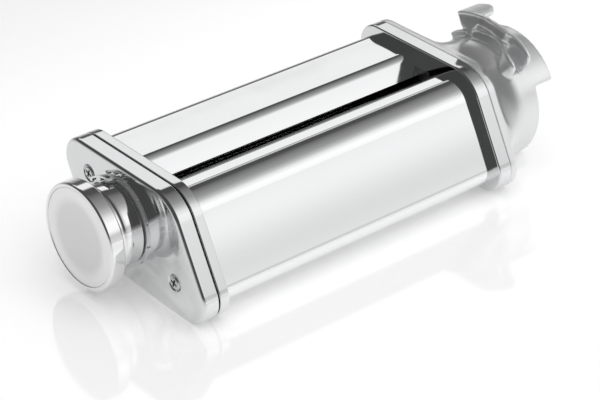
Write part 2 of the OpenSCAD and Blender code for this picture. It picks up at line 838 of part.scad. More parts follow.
// Knob: rim, deep round neck and collar around a hollow for the spring
module knob() {
    color(polished) difference() {
        turned_x(adj_y, adj_z) difference() {
            union() {
                translate([x_knob, 0]) edge_profile(rim_w, rim_r, 1, 0.6);
                translate([x_knob + 2, 0]) square([collar_x0 - x_knob - 2, collar_d / 2]);
                translate([collar_x0 - 0.2, 0]) edge_profile(collar_x1 - collar_x0 + 0.2, collar_d / 2, 0.3, 0.3);
                translate([x_knob + rim_w - 1, 0]) square([1.6, rim_r - 2.4]);
            }
            translate([neck_x, neck_d / 2 + waist_r]) circle(waist_r);
        }
        rod_x(x_knob - 1, x_knob + 1.6, face_d / 2 + seat, adj_y, adj_z);
        rod_x(x_knob + 1, spring_seat, 9, adj_y, adj_z);
        translate([0, adj_y, adj_z]) along_x(spring_seat - 1, 9) flats(stem_d / 2 + running_fit);
    }
}

// Satin disc in the knob's face, its middle very slightly dished
module knob_face() {
    dish_r = face_d / 3;
    ball = dish_r ^ 2 / 0.7;
    color(satin) turned_x(adj_y, adj_z) difference() {
        translate([x_knob + 0.2, 0]) square([1.4, face_d / 2]);
        translate([x_knob + 0.55 - ball, 0]) circle(ball, $fn = 360);
    }
}

module knob_screw() {
    color(steel) translate([0, adj_y, adj_z]) difference() {
        union() {
            rod_x(stem_x - 0.8, stem_x, washer_r);
            rod_x(stem_x - 2.2, stem_x - 0.8, 3.4);
            rod_x(stem_x, stem_x + stem_screw, 1.7);
        }
        rod_x(stem_x - 3, stem_x - 1.2, 1.4);
    }
}

// Spring that pulls the knob in, drawn at the length that it is squeezed to
module knob_spring() {
    turns = 3;
    n = 24;
    sides = 8;
    wire = 0.55;
    coil = 6.2;
    rise = spring_seat - stem_x - knob_pull - 0.4 - 2 * wire;
    last = turns * n;
    points = [for (i = [0:last], j = [0:sides - 1]) let (a = 360 * i / n, b = 360 * j / sides,
        r = coil + wire * cos(b)) [wire + rise * i / last + wire * sin(b), r * cos(a), r * sin(a)]];
    walls = [for (i = [0:last - 1], j = [0:sides - 1]) let (q = i * sides, k = (j + 1) % sides)
        [q + j, q + k, q + sides + k, q + sides + j]];
    ends = [[for (j = [sides - 1:-1:0]) j], [for (j = [0:sides - 1]) last * sides + j]];
    color(steel) translate([stem_x + 0.1, adj_y, adj_z]) polyhedron(points, concat(walls, ends));
}

near_cover();
near_plate();
far_plate();
coupling_housing();
front_shell();
rear_shell();
front_chute();
front_scraper();
rear_scraper();
tie_bars();
cover_screws();
housing_screws();
index_ring();
index_detent();
stem_bush();
drive_bushes();
drive_roller();
drive_gear();
drive_dog();
dog_screw();
adjust_roller();
adjust_hub();
adjust_gear();
near_carriage();
far_carriage();
follower_pins();
setting_spindle();
near_cam();
far_cam();
knob();
knob_face();
knob_screw();
knob_spring();
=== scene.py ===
import json
import math

import bmesh
import bpy
import numpy as np
from mathutils import Matrix, Vector
from mathutils.geometry import delaunay_2d_cdt


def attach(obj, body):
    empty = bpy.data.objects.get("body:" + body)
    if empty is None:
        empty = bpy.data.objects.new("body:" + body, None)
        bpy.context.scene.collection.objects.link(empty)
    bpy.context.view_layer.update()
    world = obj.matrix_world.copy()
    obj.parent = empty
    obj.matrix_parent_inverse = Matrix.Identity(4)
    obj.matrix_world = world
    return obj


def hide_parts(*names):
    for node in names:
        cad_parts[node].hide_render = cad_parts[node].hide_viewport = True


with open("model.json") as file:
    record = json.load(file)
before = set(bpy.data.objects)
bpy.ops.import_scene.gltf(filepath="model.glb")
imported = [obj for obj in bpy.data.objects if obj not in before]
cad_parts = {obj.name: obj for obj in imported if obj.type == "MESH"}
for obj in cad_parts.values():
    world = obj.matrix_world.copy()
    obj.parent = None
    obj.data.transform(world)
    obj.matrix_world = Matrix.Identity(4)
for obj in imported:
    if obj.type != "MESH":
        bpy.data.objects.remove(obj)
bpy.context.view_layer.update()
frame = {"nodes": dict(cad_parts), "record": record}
nodes = frame["nodes"]


# ---- Camera: three-quarter view from the knob end, above the front ----
# A long lens with no shift. The angles are those of the view; the distance sets the object's size.
camera = bpy.data.objects.new("camera", bpy.data.cameras.new("camera"))
bpy.context.scene.collection.objects.link(camera)
camera_at = Vector((-0.6536, -0.6220, 0.4762))
azimuth, elevation, roll = math.radians(-40.455), math.radians(30.889), math.radians(0.435)
ahead = Vector((-math.sin(azimuth) * math.cos(elevation), math.cos(azimuth) * math.cos(elevation),
                -math.sin(elevation)))
side = Vector((math.cos(azimuth), math.sin(azimuth), 0))
above = side.cross(ahead)
right = math.cos(roll) * side + math.sin(roll) * above
up = -math.sin(roll) * side + math.cos(roll) * above
turn = Matrix((right, up, -ahead)).transposed().to_4x4()
camera.matrix_world = Matrix.Translation(camera_at) @ turn
camera.data.sensor_width = 36
camera.data.lens = 135.75
camera.data.clip_end = 20
bpy.context.scene.camera = camera


# ---- Body shells: two polished stainless sheets folded round the rollers ----
# The sheets butt against the end plates, 4.6 mm inside their edge. The back one is bent down at the
# feed slot to make the rear chute. The floor is open between them, where the dough leaves.
def new_material(name, base, rough, metallic):
    """A material with one Principled BSDF; returns it, its node tree and that shader."""
    mat = bpy.data.materials.new(name)
    mat.use_nodes = True
    tree = mat.node_tree
    bsdf = tree.nodes["Principled BSDF"]
    bsdf.inputs["Base Color"].default_value = (*base, 1)
    bsdf.inputs["Roughness"].default_value = rough
    bsdf.inputs["Metallic"].default_value = metallic
    return mat, tree, bsdf


def noise(tree, vector, scale, detail=3.0, rough=0.5):
    """A noise texture on the given coordinates."""
    node = tree.nodes.new("ShaderNodeTexNoise")
    node.inputs["Scale"].default_value = scale
    node.inputs["Detail"].default_value = detail
    node.inputs["Roughness"].default_value = rough
    tree.links.new(vector, node.inputs["Vector"])
    return node.outputs["Fac"]


def math_node(tree, op, a, b, clamp=False):
    """A Math node; a and b are sockets or numbers."""
    node = tree.nodes.new("ShaderNodeMath")
    node.operation = op
    node.use_clamp = clamp
    for i, v in enumerate((a, b)):
        if isinstance(v, (int, float)):
            node.inputs[i].default_value = v
        else:
            tree.links.new(v, node.inputs[i])
    return node.outputs[0]


def ramp(tree, fac, stops, mode="EASE"):
    """A colour ramp with the given (position, grey) stops."""
    node = tree.nodes.new("ShaderNodeValToRGB")
    node.color_ramp.interpolation = mode
    ends = node.color_ramp.elements
    ends[0].position, ends[1].position = stops[0][0], stops[-1][0]
    for i, (position, grey) in enumerate(stops):
        stop = ends[0] if i == 0 else ends[-1] if i == len(stops) - 1 else ends.new(position)
        stop.color = (grey, grey, grey, 1)
    tree.links.new(fac, node.inputs["Fac"])
    return node.outputs["Color"]


def group_of(name, inputs, outputs):
    """An empty shader node group with inputs (name, kind, value) and outputs (name, kind)."""
    tree = bpy.data.node_groups.new(name, "ShaderNodeTree")
    for socket_name, kind, value in inputs:
        socket = tree.interface.new_socket(name=socket_name, in_out="INPUT", socket_type=kind)
        if value is not None:
            socket.default_value = value
    for socket_name, kind in outputs:
        tree.interface.new_socket(name=socket_name, in_out="OUTPUT", socket_type=kind)
    return tree, tree.nodes.new("NodeGroupInput"), tree.nodes.new("NodeGroupOutput")


def place(tree, group, vector, values):
    """Puts a node group in a material and sets its inputs."""
    node = tree.nodes.new("ShaderNodeGroup")
    node.node_tree = group
    tree.links.new(vector, node.inputs["Vector"])
    for k, v in values.items():
        node.inputs[k].default_value = v
    return node


def object_coords(tree):
    """The piece's own coordinates, in metres."""
    return tree.nodes.new("ShaderNodeTexCoord").outputs["Object"]


def bump(tree, height, bsdf, strength, distance_mm):
    """Feeds a height to the shader's normal through a Bump node."""
    node = tree.nodes.new("ShaderNodeBump")
    node.inputs["Strength"].default_value = strength
    node.inputs["Distance"].default_value = distance_mm / 1000
    tree.links.new(height, node.inputs["Height"])
    tree.links.new(node.outputs["Normal"], bsdf.inputs["Normal"])


# Polish: faint smudges in the roughness, hair-fine scratches along one direction, soft waviness
smudge_scale, hair_scale, wave_scale = 34, 900, 60
hair_in_roughness, wave_in_height = 0.08, 0.4
polish, g_in, g_out = group_of("polish_wear", [
    ("Vector", "NodeSocketVector", None), ("Base Roughness", "NodeSocketFloat", 0.05),
    ("Smudge", "NodeSocketFloat", 0.04), ("Scratch", "NodeSocketFloat", 0.3),
    ("Stretch", "NodeSocketVector", (1, 1, 1))], [
    ("Roughness", "NodeSocketFloat"), ("Height", "NodeSocketFloat")])
stretch = polish.nodes.new("ShaderNodeVectorMath")
stretch.operation = "MULTIPLY"
polish.links.new(g_in.outputs["Vector"], stretch.inputs[0])
polish.links.new(g_in.outputs["Stretch"], stretch.inputs[1])
smudge = ramp(polish, noise(polish, g_in.outputs["Vector"], smudge_scale, 4, 0.6),
              [(0.35, 0.0), (0.75, 1.0)])
hair = noise(polish, stretch.outputs[0], hair_scale, 2, 0.6)
scratched = math_node(polish, "MULTIPLY", hair, g_in.outputs["Scratch"])
rough = math_node(polish, "MULTIPLY", smudge, g_in.outputs["Smudge"])
fine = math_node(polish, "MULTIPLY", scratched, hair_in_roughness)
total = math_node(polish, "ADD", math_node(polish, "ADD", rough, fine),
                  g_in.outputs["Base Roughness"])
polish.links.new(total, g_out.inputs["Roughness"])
wave = noise(polish, g_in.outputs["Vector"], wave_scale, 2, 0.4)
height = math_node(polish, "ADD", scratched, math_node(polish, "MULTIPLY", wave, wave_in_height))
polish.links.new(height, g_out.inputs["Height"])


def polished_metal(name, colour, rough, smudge_v, scratch, stretch_v, bump_mm):
    """Polished metal: a mirror with smudges, hair scratches and a trace of waviness."""
    mat, tree, bsdf = new_material(name, colour, rough, 1.0)
    node = place(tree, polish, object_coords(tree), {
        "Base Roughness": rough, "Smudge": smudge_v, "Scratch": scratch, "Stretch": stretch_v})
    tree.links.new(node.outputs["Roughness"], bsdf.inputs["Roughness"])
    bump(tree, node.outputs["Height"], bsdf, 0.12, bump_mm)
    return mat


def finish_nodes(material, *names):
    """Gives CAD nodes that keep their own mesh the finish of their section."""
    for n in names:
        nodes[n].data.materials.clear()
        nodes[n].data.materials.append(material)


def unit(v):
    """Vectors divided by their own length."""
    return v / np.linalg.norm(v, axis=-1, keepdims=True)


def arc(centre, radius, from_deg, to_deg, steps):
    """Points on an arc in the YZ plane and their outward normals; angles count from +Y to +Z."""
    q = np.radians(np.linspace(from_deg, to_deg, steps + 1))
    n = np.stack([np.cos(q), np.sin(q)], 1)
    return np.asarray(centre) + radius * n, n


def grid_faces(rows, cols, closed=False):
    """Quads between neighbouring rows and columns of a grid of points laid out row by row."""
    j = np.arange(cols if closed else cols - 1)
    i = np.arange(rows - 1)[:, None]
    k = (j + 1) % cols
    f = np.stack([i * cols + j, i * cols + k, (i + 1) * cols + k, (i + 1) * cols + j], -1)
    return f.reshape(-1, 4).tolist()


def new_piece(name, verts_mm, faces, material, slot_name, body, replaced=(), sharp=35):
    """Makes a mesh object of points in millimetres, smooth except at edges sharper than given."""
    mesh = bpy.data.meshes.new(name)
    mesh.from_pydata((np.asarray(verts_mm) / 1000).tolist(), [], faces)
    mesh.update()
    mesh.shade_smooth()
    mesh.set_sharp_from_angle(angle=math.radians(sharp))
    obj = bpy.data.objects.new(name, mesh)
    bpy.context.scene.collection.objects.link(obj)
    mesh.materials.append(material)
    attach(obj, body)
    if replaced:
        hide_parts(*replaced)
    return obj


# Sizes in millimetres, in the YZ plane from the middle of the end plates
sheet_t = 0.8
body_x0, body_x1 = -188.5, -38.5
plate_middle = np.array([12.0, -2.76])
corners = np.array([[-53.6, -26.1], [25.1, -26.1], [53.6, 26.1], [-25.1, 26.1]])
corner_radii = np.array([10.6, 17.6, 10.6, 17.6])
# Outward directions of the bottom, back, top and front edges
edge_deg = np.array([-90.0, -28.633, 90.0, 151.367])


def corner_arc(i, inset, steps=24):
    """Corner i of the slanted outline, inset from the end plates' edge: an arc that touches both
    neighbouring edges, turning counterclockwise from one edge's outward direction to the next's."""
    a, b = np.radians([edge_deg[i - 1], edge_deg[i]])
    a, b = np.array([math.cos(a), math.sin(a)]), np.array([math.cos(b), math.sin(b)])
    centre = corners[i] - corner_radii[i] * (a + b) / (1 + a @ b)
    start = edge_deg[i - 1] - (360 if i == 0 else 0)
    return arc(centre, corner_radii[i] - inset, start, edge_deg[i], steps)


def flat(from_p, to_p, normal, rise, steps=16):
    """A straight run between two points. It rises by a shallow arch, rise * sin^2, with no kink at
    its ends, and the points crowd towards the ends."""
    s = (1 - np.cos(np.pi * np.linspace(0, 1, steps + 1)[1:-1])) / 2
    p = from_p + s[:, None] * (to_p - from_p)
    slope = np.pi * rise * np.sin(2 * np.pi * s) / np.linalg.norm(to_p - from_p)
    n = unit(normal - slope[:, None] * unit(to_p - from_p))
    return p + (rise * np.sin(np.pi * s) ** 2)[:, None] * normal, n


def bent_sheet(path, normal):
    """A bent sheet: the path is its outer face, its inner face lies one thickness behind it along
    the normals, and the closed section is carried along X from plate to plate."""
    n = len(path)
    ring = np.concatenate([path, (path - sheet_t * normal)[::-1]]) + plate_middle
    x = np.linspace(body_x0, body_x1, 13)
    verts = np.concatenate([np.column_stack([np.full(2 * n, v), ring]) for v in x])
    faces = grid_faces(len(x), 2 * n, True)
    last = (len(x) - 1) * 2 * n
    for i in range(n - 1):
        a, b = i, 2 * n - 1 - i
        faces.append([a, a + 1, b - 1, b][::-1])
        faces.append([last + a, last + b, last + b - 1, last + a + 1][::-1])
    return verts, faces


polished_sheet = polished_metal("polished_sheet", (0.86, 0.865, 0.87), 0.05, 0.04, 0.3,
                                (0.06, 1, 1), 0.02)
inset = 4.6
floor_level, top_level, floor_lead = -21.5, 21.5, 0.4
front_top_end = -15.35
front_low, front_low_n = corner_arc(0, inset)
front_high, front_high_n = corner_arc(3, inset)
keep = front_high[:, 0] < front_top_end
front_high, front_high_n = front_high[keep], front_high_n[keep]
face_p, face_n = flat(front_high[-1], front_low[0], front_high_n[-1], 0.12)
path = np.concatenate([front_high, face_p, front_low, front_low[-1:] + (floor_lead, 0),
                       [[-13.0, floor_level]]])
normal = np.concatenate([front_high_n, face_n, front_low_n, front_low_n[-1:], front_low_n[-1:]])
new_piece("front_sheet", *bent_sheet(path, normal), polished_sheet, "polished_sheet", "frame",
          ["front_shell"])

# The fold into the rear chute: a soft bend of 6 mm radius that ends in a slide 50 degrees steep
bend_r, slide_deg, chute_end = 6.0, 50.0, np.array([7.0, 13.5])
slide = math.radians(slide_deg)
slide_drop = top_level - chute_end[1] - bend_r * (1 - math.cos(slide))
bend_y = chute_end[0] + slide_drop / math.tan(slide) + bend_r * math.sin(slide)
back_low, back_low_n = corner_arc(1, inset)
back_high, back_high_n = corner_arc(2, inset)
bend, bend_n = arc((bend_y, top_level - bend_r), bend_r, 90, 90 + slide_deg, 24)
rise_p, rise_n = flat(back_low[-1], back_high[0], back_low_n[-1], 0.1)
top_p, top_n = flat(back_high[-1], bend[0], back_high_n[-1], 0.05)
slide_p, slide_n = flat(bend[-1], chute_end, bend_n[-1], 0.02, 6)
path = np.concatenate([[[13.0, floor_level]], back_low[:1] - (floor_lead, 0), back_low, rise_p,
                       back_high, top_p, bend, slide_p, [chute_end]])
normal = np.concatenate([back_low_n[:1], back_low_n[:1], back_low_n, rise_n, back_high_n, top_n,
                         bend_n, slide_n, bend_n[-1:]])
new_piece("rear_sheet", *bent_sheet(path, normal), polished_sheet, "polished_sheet", "frame",
          ["rear_shell"])

# Front chute: lapped under the front sheet, joggled up to a level lip and bent down to the rollers
lap, lap_n = arc((-14.65, 8.5), 12.2, 112, 94, 12)
joggle, joggle_n = arc((-14.6, 20.35), 0.55, 176, 90, 8)
lip_end, lip_z, brow_r = -9.9, 20.9, 2.6
lip, lip_n = flat(joggle[-1], np.array([lip_end, lip_z]), joggle_n[-1], 0.01, 8)
brow, brow_n = arc((lip_end, lip_z - brow_r), brow_r, 90, 22, 16)
path = np.concatenate([lap, joggle, lip, brow, [[-7.0, 13.0]]])
normal = np.concatenate([lap_n, joggle_n, lip_n, brow_n, brow_n[-1:]])
verts, faces = bent_sheet(path[::-1], normal[::-1])
new_piece("front_chute_sheet", verts, faces, polished_sheet, "polished_sheet", "frame",
          ["front_chute"])


# ---- End plates: two polished castings and a hollow cover that close the ends of the body ----
# The cover and the inner plate at the knob end meet in a narrow groove. Their outer edges are
# rounded over by the polishing, and each plate has a slot for the sliding bearing block.
def slanted_loop(inset_mm):
    """The whole slanted outline at an inset, counterclockwise, with a point close to both ends of
    every straight edge so that its shading stays flat."""
    points = []
    for i in range(4):
        p, n = corner_arc(i, inset_mm, 20)
        before = np.array([n[0][1], -n[0][0]])
        after = np.array([-n[-1][1], n[-1][0]])
        points.append(np.concatenate([p[:1] + 0.4 * before, p, p[-1:] + 0.4 * after]))
    return np.concatenate(points) + plate_middle


def circle_loop(y, z, radius, steps=48):
    """A circle in the YZ plane, counterclockwise."""
    q = np.linspace(0, 2 * np.pi, steps, endpoint=False)
    return np.stack([y + radius * np.cos(q), z + radius * np.sin(q)], 1)


def flat_face(rim, holes):
    """Triangles that fill the flat area inside the rim and outside the holes."""
    loops = [rim, *holes]
    points = np.concatenate(loops)
    edges, at = [], 0
    for loop in loops:
        k = np.arange(len(loop))
        edges += np.stack([at + k, at + (k + 1) % len(loop)], 1).tolist()
        at += len(loop)
    out = delaunay_2d_cdt([Vector(p) for p in points], edges, [], 1, 1e-6)
    tri = np.array(out[2])
    xy = np.array([list(v) for v in out[0]])
    middle = xy[tri].mean(1)
    good = np.ones(len(tri), bool)
    for loop in holes:
        a, b = loop, np.roll(loop, -1, 0)
        crosses = (a[:, 1] > middle[:, None, 1]) != (b[:, 1] > middle[:, None, 1])
        share = (middle[:, None, 1] - a[:, 1]) / (b[:, 1] - a[:, 1] + 1e-12)
        at_y = a[:, 0] + share * (b[:, 0] - a[:, 0])
        good &= (crosses & (middle[:, None, 0] < at_y)).sum(1) % 2 == 0
    tri = tri[good]
    a, b, c = xy[tri[:, 0]], xy[tri[:, 1]], xy[tri[:, 2]]
    ab, ac = b - a, c - a
    clockwise = ab[:, 0] * ac[:, 1] - ab[:, 1] * ac[:, 0] < 0
    tri[clockwise] = tri[clockwise][:, ::-1]
    return xy, tri


class Shell:
    """Collects points and faces of a piece in millimetres."""

    def __init__(self):
        self.verts, self.faces, self.count = [], [], 0

    def add(self, verts, faces):
        """Takes in points and the faces that count from their first one."""
        self.verts.append(np.asarray(verts, float))
        self.faces += [[int(v) + self.count for v in f] for f in faces]
        self.count += len(verts)

    def band(self, stations, outward=True):
        """Wall through the loops (x, points), in order of x; its faces look away from the loops'
        inside, or towards it where outward is False."""
        n = len(stations[0][1])
        faces = grid_faces(len(stations), n, True)
        self.add(np.concatenate([np.column_stack([np.full(n, x), p]) for x, p in stations]),
                 [f[::-1] for f in faces] if not outward else faces)

    def face(self, x, rim, holes=(), ahead=True):
        """Flat face at x that looks to +X, or to -X where ahead is False."""
        xy, tri = flat_face(rim, list(holes))
        self.add(np.column_stack([np.full(len(xy), x), xy]), tri if ahead else tri[:, ::-1])

    def merged(self, name, *rest, **more):
        """The finished piece, its doubled points joined."""
        obj = new_piece(name, np.concatenate(self.verts), self.faces, *rest, **more)
        bm = bmesh.new()
        bm.from_mesh(obj.data)
        bmesh.ops.remove_doubles(bm, verts=bm.verts, dist=2e-6)
        bm.to_mesh(obj.data)
        bm.free()
        obj.data.set_sharp_from_angle(angle=math.radians(35))
        return obj


polished_cast = polished_metal("polished_cast", (0.76, 0.765, 0.77), 0.06, 0.05, 0.25,
                               (1, 0.15, 1), 0.02)
screw_at = plate_middle + (1.0, 0.9) + np.array([[-28.1, -12.7], [28.1, 12.7]])
knob_axis = np.array([20.402, -2.0])
quarter = np.radians(np.linspace(0, 90, 9))
journal_hole_r, screw_hole_r, far_screw_hole_r = 7.02, 2.2, 1.7


def rounded(x, radius, ahead):
    """A quarter round between a plate's face at x and its edge, as stations (x, inset). It runs
    from the face to the edge where ahead is True, and back to the face where it is False."""
    if ahead:
        return [(x + radius * (1 - math.sin(q)), radius * (1 - math.cos(q))) for q in quarter[::-1]]
    return [(x - radius * (1 - math.sin(q)), radius * (1 - math.cos(q))) for q in quarter]


# Hollow cover: rounded front edge, a dished seat in a pillar for each screw, a hole for the bush
cover_x, seam_x, wall = -201.4, -193.9, 1.8
front_round, back_round, seat_r, pillar_r, bush_r = 1.8, 0.4, 4.2, 4.6, 6.52
cover = Shell()
cover_edge = rounded(cover_x, front_round, True) + [(cover_x + 2.1, 0), (seam_x - 0.7, 0)]
cover_edge += rounded(seam_x, back_round, False)
cover.band([(x, slanted_loop(d)) for x, d in cover_edge])
# The dish of a screw, as depths below the face and radii
dish = [(0.0, seat_r), (0.02, 4.1), (0.09, 3.98), (0.25, 3.85), (0.55, 3.62), (0.9, 3.4),
        (2.0, screw_hole_r)]
seats = [circle_loop(*s, seat_r) for s in screw_at]
pillars = [circle_loop(*s, pillar_r) for s in screw_at]
bush_hole = circle_loop(*knob_axis, bush_r)
cover.face(cover_x, slanted_loop(front_round), seats + [bush_hole], ahead=False)
for s, pillar in zip(screw_at, pillars):
    screw_hole = circle_loop(*s, screw_hole_r)
    dished = [(cover_x + depth, circle_loop(*s, r)) for depth, r in dish]
    cover.band(dished + [(seam_x, screw_hole)], False)
    cover.band([(cover_x + wall, pillar), (seam_x, pillar)])
    cover.face(seam_x, pillar, [screw_hole])
cover.band([(cover_x, bush_hole), (cover_x + wall, bush_hole)], False)
cover.face(cover_x + wall, slanted_loop(wall), pillars + [bush_hole])
cover.band([(cover_x + wall, slanted_loop(wall)), (seam_x, slanted_loop(wall))], False)
cover.face(seam_x, slanted_loop(back_round), [slanted_loop(wall)])
cover.merged("cover_casting", polished_cast, "polished_cast", "frame", ["near_cover"])


def block_slot(height):
    """The rectangular slot of a sliding bearing block, which leaves room for its travel."""
    front, back, play = 8.3, 10.75 + 2.6, 0.05
    y0, y1 = knob_axis[0] - front, knob_axis[0] + back
    z0, z1 = knob_axis[1] - height / 2 - play, knob_axis[1] + height / 2 + play
    return np.array([[y0, z0], [y1, z0], [y1, z1], [y0, z1]])


def end_plate(stations, holes):
    """A solid plate: the slanted outline carried through the stations (x, inset), flat at both
    ends, and the holes cut straight through."""
    plate = Shell()
    plate.band([(x, slanted_loop(d)) for x, d in stations])
    plate.face(stations[0][0], slanted_loop(stations[0][1]), holes, ahead=False)
    plate.face(stations[-1][0], slanted_loop(stations[-1][1]), holes)
    for h in holes:
        plate.band([(stations[0][0], h), (stations[-1][0], h)], False)
    return plate


# Inner plate: its edge steps back at the seam, which leaves the groove
groove_w, groove_d, groove_edge = 0.75, 2.6, 0.5
groove_x = seam_x + groove_w
journal_hole = circle_loop(0, 0, journal_hole_r)
near = [(seam_x, groove_d), (groove_x, groove_d), (groove_x, groove_edge)]
near += rounded(groove_x, groove_edge, True) + [(-189.2, 0.0)] + rounded(body_x0, 0.45, False)
near_holes = [circle_loop(*s, screw_hole_r) for s in screw_at]
end_plate(near, [block_slot(20), journal_hole, *near_holes]).merged(
    "inner_plate", polished_cast, "polished_cast", "frame", ["near_plate"])

# Outer plate, which carries the casting
plate_end = -32
far = rounded(body_x1, 0.9, True) + [(-37.2, 0.0), (-32.35, 0.0)] + rounded(plate_end, 0.15, False)
far_holes = [circle_loop(*s, far_screw_hole_r) for s in screw_at]
end_plate(far, [block_slot(32), journal_hole, *far_holes]).merged(
    "outer_plate", polished_cast, "polished_cast", "frame", ["far_plate"])


# ---- Coupling: a satin die casting with a flange, a flared neck, the ring and its bayonet ----
# Its edges are soft from the mould and the tumbling. Two cap screws hold it to the tie bars.
satin_cast = polished_metal("satin_cast", (0.86, 0.865, 0.87), 0.27, 0.08, 0.3, (1, 1, 1), 0.06)
# The tumbled skin scatters part of the light, so it is less than a full mirror
satin_cast.node_tree.nodes["Principled BSDF"].inputs["Metallic"].default_value = 0.72
casting = nodes["coupling_housing"].copy()
casting.data = nodes["coupling_housing"].data.copy()
casting.name = casting.data.name = "coupling_casting"
bpy.context.scene.collection.objects.link(casting)
bm = bmesh.new()
bm.from_mesh(casting.data)
bmesh.ops.remove_doubles(bm, verts=bm.verts, dist=1e-6)
bm.to_mesh(casting.data)
bm.free()


def swept(deg, sections):
    """A solid carried round the drive axis: at each angle (degrees, 90 is straight up) a closed
    section of [x, radius] points, counterclockwise. Both ends are capped."""
    q = np.radians(deg)[:, None]
    sections = np.asarray(sections, float)
    n, m = sections.shape[:2]
    x, r = sections[..., 0], sections[..., 1]
    verts = np.stack([x, r * np.cos(q), r * np.sin(q)], -1).reshape(-1, 3)
    i = np.arange(n - 1)[:, None]
    j = np.arange(m)
    beside, ahead = (j + 1) % m, i + 1
    faces = np.stack([i * m + j, i * m + beside, ahead * m + beside, ahead * m + j], -1)
    caps = [list(range(m))[::-1], list(range((n - 1) * m, n * m))]
    return verts, faces.reshape(-1, 4).tolist() + caps


def boxed(x_low, x_root, x_high, r_in, r_out):
    """Sections with four corners: a slanted face towards -X and a straight one towards +X."""
    return np.stack([np.stack([x_root, r_in], -1), np.stack([x_high, r_in], -1),
                     np.stack([x_high, r_out], -1), np.stack([x_low, r_out], -1)], 1)


def add_solid(verts, faces, target):
    """Puts a solid in millimetres into a bmesh, beside what is there."""
    mesh = bpy.data.meshes.new("part")
    mesh.from_pydata((verts / 1000).tolist(), [], faces)
    target.from_mesh(mesh)
    bpy.data.meshes.remove(mesh)


def baked_mesh():
    """The casting's mesh with its modifiers applied."""
    return bpy.data.meshes.new_from_object(
        casting.evaluated_get(bpy.context.evaluated_depsgraph_get()))


# The stepped flanges are cut off and cast again with their smooth, slightly helical run
clear = np.linspace(88, 142, 55)
cut_back, cut_front, cut_in, cut_out = [np.full_like(clear, v) for v in (-24.6, 2, 28.9, 47)]
cut = bpy.data.meshes.new("cut")
verts, faces = swept(clear, boxed(cut_back, cut_back, cut_front, cut_in, cut_out))
cut.from_pydata((verts / 1000).tolist(), [], faces)
cutter = bpy.data.objects.new("cutter", cut)
bpy.context.scene.collection.objects.link(cutter)
trim = casting.modifiers.new("trim", "BOOLEAN")
trim.operation, trim.solver, trim.object = "DIFFERENCE", "EXACT", cutter
trimmed = baked_mesh()
casting.modifiers.clear()
casting.data = trimmed
bpy.data.objects.remove(cutter)

# Along each flange: the angles, and there the back face, the front face and the outer radius
root_r = 27.5
bm = bmesh.new()
bm.from_mesh(casting.data)
tall = np.linspace(84, 136, 79)
tall_low = np.interp(tall, [84, 95, 102, 109, 114, 119], [-18.8, -19.1, -19.4, -19.0, -17.4, -16.8])
tall_high = np.interp(tall, [97, 105, 112, 117], [-17.1, -16.5, -16.4, -14.7])
tall_r = np.interp(tall, [126, 130, 132, 133.5, 134.5, 135.3, 136],
                   [40.1, 39.7, 38.9, 37.5, 36, 33, 29.6])
tall_root = np.full_like(tall, root_r)
add_solid(*swept(tall, boxed(tall_low, tall_low, tall_high, tall_root, tall_r)), bm)
low = np.linspace(80, 136, 85)
low_low = np.interp(low, [80, 90, 99, 109, 114, 118, 123],
                    [-21.2, -20.8, -20.2, -19.9, -20.2, -21.4, -22.2])
low_skirt = low_low - np.interp(low, [114, 121, 130, 136], [0, 1.9, 2.1, 0.6])
low_r = np.interp(low, [80, 82, 90, 98, 113, 117, 121, 129, 132, 134, 135.2, 136],
                  [32.4, 33, 34.2, 34.6, 34.4, 33.9, 34.6, 34.4, 33.6, 32.2, 30.6, 29])
low_w, low_root = 2.1, np.full_like(low, root_r)
add_solid(*swept(low, boxed(low_low, low_skirt, low_low + low_w, low_root, low_r)), bm)

# The flare: from just inside the flange's outline it swells towards the ring, on the front side
# only, where nothing moves behind it. It thins out towards both of its ends.
round_deg = np.arange(66.0, 295.0)
half_height, half_depth, inside_edge, most_r, least_slope = 26.1, 34.54, 1.3, 32.0, 0.2
edge_far = np.array([half_height, half_depth, half_height, half_depth]) - inside_edge
edge_far += plate_middle @ np.stack([np.cos(np.radians(edge_deg)), np.sin(np.radians(edge_deg))])
towards = np.cos(np.radians(round_deg[:, None] - edge_deg))
reach = np.where(towards > least_slope, edge_far / np.maximum(towards, least_slope), 99)
edge_r = np.minimum(reach.min(1), most_r)
run = np.linspace(0, 1, 9)
flare_x, flare_w, ring_r, swell, skin_t, inner_r = -28.9, 10.4, 28.84, 2.2, 1.6, 26.2
skin_x = flare_x + flare_w * run
skin_r = edge_r[:, None] + (ring_r - edge_r[:, None]) * (1 - (1 - run) ** swell)
core_r = np.minimum(skin_r - skin_t, inner_r)
fade_deg, half_sweep = 12, 114.5
fade = np.clip((half_sweep - np.abs(round_deg - 180)) / fade_deg, 0.1, 1)[:, None]
skin_r = core_r + (skin_r - core_r) * fade
skin = np.stack([np.broadcast_to(skin_x, skin_r.shape), skin_r], -1)
core = np.stack([np.broadcast_to(skin_x, skin_r.shape), core_r], -1)
add_solid(*swept(round_deg, np.concatenate([core, skin[:, ::-1]], 1)), bm)
bm.normal_update()
bm.to_mesh(casting.data)
bm.free()
casting.data.materials.clear()
casting.data.materials.append(satin_cast)
remesh = casting.modifiers.new("remesh", "REMESH")
remesh.mode = "VOXEL"
remesh.voxel_size = 0.52 / 1000
ease = casting.modifiers.new("ease", "SMOOTH")
ease.factor = 0.5
ease.iterations = 12
baked = baked_mesh()
casting.modifiers.clear()
casting.data = baked
casting.data.name = "coupling_casting"
baked.shade_smooth()
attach(casting, "frame")
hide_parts("coupling_housing")


# ---- Knob: a turned and polished rim, a short drum behind it and a satin disc in its face ----
# It slides on the spindle's flats against a spring. The thin index ring behind it lies on the cover
# and has a notch for each setting, and a bent spring strip on the ring stands by the collar.
knob_chrome = polished_metal("knob_chrome", (0.85, 0.85, 0.855), 0.05, 0.04, 0.3,
                             (1, 0.1, 0.1), 0.02)


